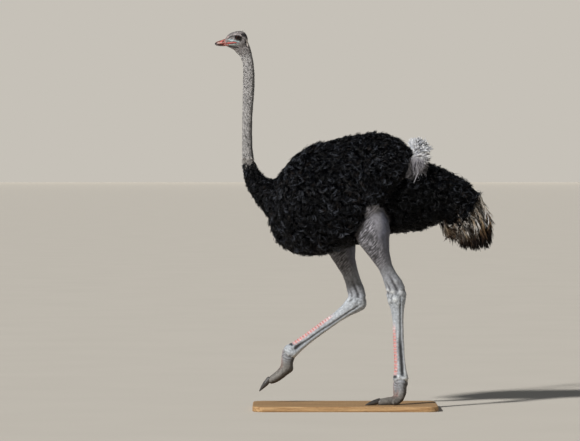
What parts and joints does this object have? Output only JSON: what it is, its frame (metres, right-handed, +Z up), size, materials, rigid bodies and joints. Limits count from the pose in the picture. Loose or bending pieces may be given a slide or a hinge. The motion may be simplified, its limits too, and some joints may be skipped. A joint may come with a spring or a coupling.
{
  "type": "ostrich model",
  "caption": "Life-size still model of a male ostrich in mid stride, one foot raised, on a flat oak display base.",
  "frame": {"origin": "centre of the underside of the display base, on the floor", "axes": "+Z up; the bird faces -Y; its left side is +X"},
  "size_m": [0.58, 1.603, 2.175],
  "materials": {
    "bare_skin": "wrinkled grey skin, pale pink-red scutes down the shank",
    "neck_down": "short grey-white down, flecked dark",
    "black_plumage": "soft curled black feathers",
    "white_plumage": "soft white plumes, grey-violet in shade",
    "tail_plumage": "worn tan and brown plumes",
    "bill": "satin salmon-pink horn with a dark nail",
    "claw_horn": "satin blue-black horn",
    "eye": "wet gloss, dark brown iris",
    "oak": "satin oiled oak"
  },
  "bodies": {
    "root": {"head": "bare_skin", "bill_upper": "bill", "bill_lower": "bill", "eye_left": "eye", "eye_right": "eye", "neck_upper": "neck_down", "neck_lower": "neck_down", "neck_base": "black_plumage", "trunk": "black_plumage", "tail": "black_plumage", "tail_plumes": "tail_plumage", "wing_left": "black_plumage", "wing_right": "black_plumage", "wing_plumes_left": "white_plumage", "wing_plumes_right": "white_plumage", "shin_left": "bare_skin", "shin_right": "bare_skin", "shank_left": "bare_skin", "shank_right": "bare_skin", "toe_inner_left": "bare_skin", "toe_inner_right": "bare_skin", "toe_outer_left": "bare_skin", "toe_outer_right": "bare_skin", "claw_left": "claw_horn", "claw_right": "claw_horn", "stand_base": "oak"}
  },
  "joints": []
}
